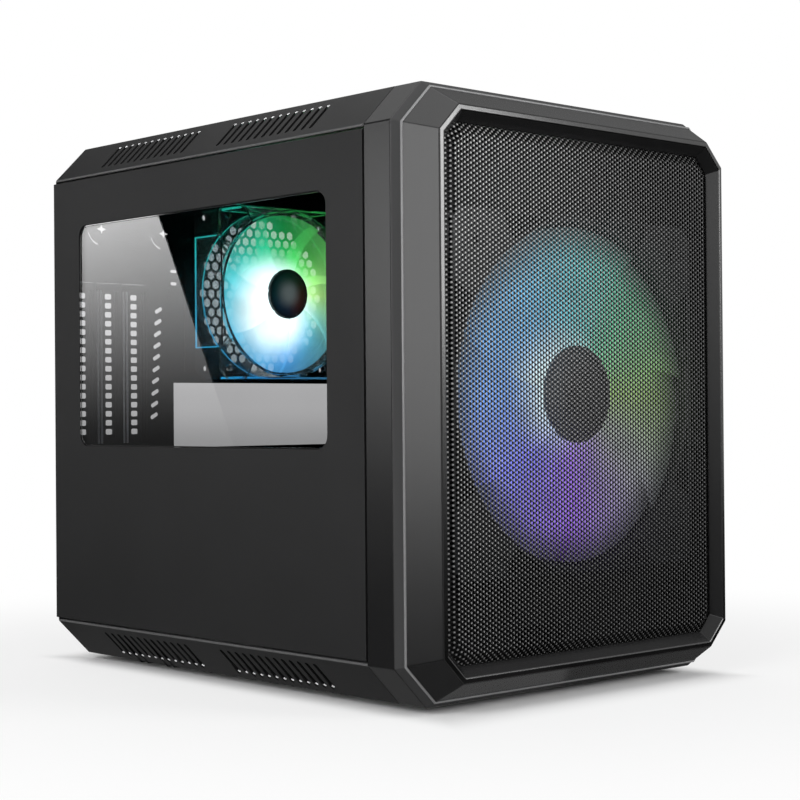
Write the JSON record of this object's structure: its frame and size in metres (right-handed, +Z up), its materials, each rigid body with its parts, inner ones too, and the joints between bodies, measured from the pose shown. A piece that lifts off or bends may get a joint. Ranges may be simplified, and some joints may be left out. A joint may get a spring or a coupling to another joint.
{
  "type": "micro atx pc case",
  "caption": "Cube shaped PC case for a micro ATX board: octagonal steel body, moulded front round a mesh tray, lit fans, side window, sliding side panels and a pierced rear wall.",
  "frame": {"origin": "on the floor, under the middle of the overall width and depth", "axes": "+Z up, -Y out of the moulded front, +Y out of the rear wall, -X out of the side with the window"},
  "size_m": [0.2674, 0.3574, 0.3365],
  "materials": {
    "black_steel": "satin black powder coat with a very fine grain",
    "black_mesh": "satin black paint over perforated steel",
    "black_plastic": "satin moulded plastic",
    "smoke_acrylic": "polished tinted acrylic",
    "foam_tape": "black foam",
    "clear_plastic": "clear moulded plastic, lit from inside",
    "milky_plastic": "milky moulded plastic, lit from inside",
    "brass": "bright turned brass",
    "circuit_board": "solder resist",
    "socket_metal": "plated sheet",
    "socket_plastic": "satin moulded plastic",
    "lens": "clear light pipe",
    "rubber": "matt black rubber"
  },
  "bodies": {
    "chassis": {"top_cover": "black_steel", "bottom_cover": "black_steel", "rear_panel": "black_steel", "slot_cover_1": "black_steel", "slot_cover_2": "black_steel", "slot_cover_3": "black_steel", "front_plate": "black_steel", "front_bezel": "black_plastic", "front_mesh": "black_mesh", "front_fan_frame": "clear_plastic", "rear_fan_frame": "clear_plastic", "motherboard_tray": "black_steel", "board_standoffs": "brass", "drive_cage": "black_steel", "power_supply_pads": "foam_tape", "io_board": "circuit_board", "power_switch": "socket_plastic", "reset_switch": "socket_plastic", "usb_port_1": "socket_metal", "usb_port_2": "socket_metal", "audio_jack": "socket_plastic", "power_lens": "lens", "rubber_feet": "rubber"},
    "left_panel": {"left_side_panel": "black_steel", "window_tape": "foam_tape", "side_window": "smoke_acrylic", "left_thumbscrews": "black_steel"},
    "right_panel": {"right_side_panel": "black_steel", "right_thumbscrews": "black_steel"},
    "front_rotor": {"front_fan_rotor": "milky_plastic"},
    "rear_rotor": {"rear_fan_rotor": "milky_plastic"},
    "power_key": {"power_button": "black_plastic"},
    "reset_key": {"reset_button": "black_plastic"}
  },
  "joints": [
    {"name": "left_panel_slide", "type": "slide", "parent": "chassis", "child": "left_panel", "axis": [0, 1, 0], "range_m": [0, 0.014]},
    {"name": "right_panel_slide", "type": "slide", "parent": "chassis", "child": "right_panel", "axis": [0, 1, 0], "range_m": [0, 0.014]},
    {"name": "front_fan_spin", "type": "hinge", "parent": "chassis", "child": "front_rotor", "pos_m": [0, -0.151, 0.16985], "axis": [0, 1, 0], "continuous": true},
    {"name": "rear_fan_spin", "type": "hinge", "parent": "chassis", "child": "rear_rotor", "pos_m": [0.0393, 0.153, 0.2445], "axis": [0, 1, 0], "continuous": true},
    {"name": "power_button_press", "type": "slide", "parent": "chassis", "child": "power_key", "axis": [0, 0, -1], "range_m": [0, 0.0012], "stiffness_N_per_m": 1500},
    {"name": "reset_button_press", "type": "slide", "parent": "chassis", "child": "reset_key", "axis": [0, 0, -1], "range_m": [0, 0.0012], "stiffness_N_per_m": 1500}
  ]
}
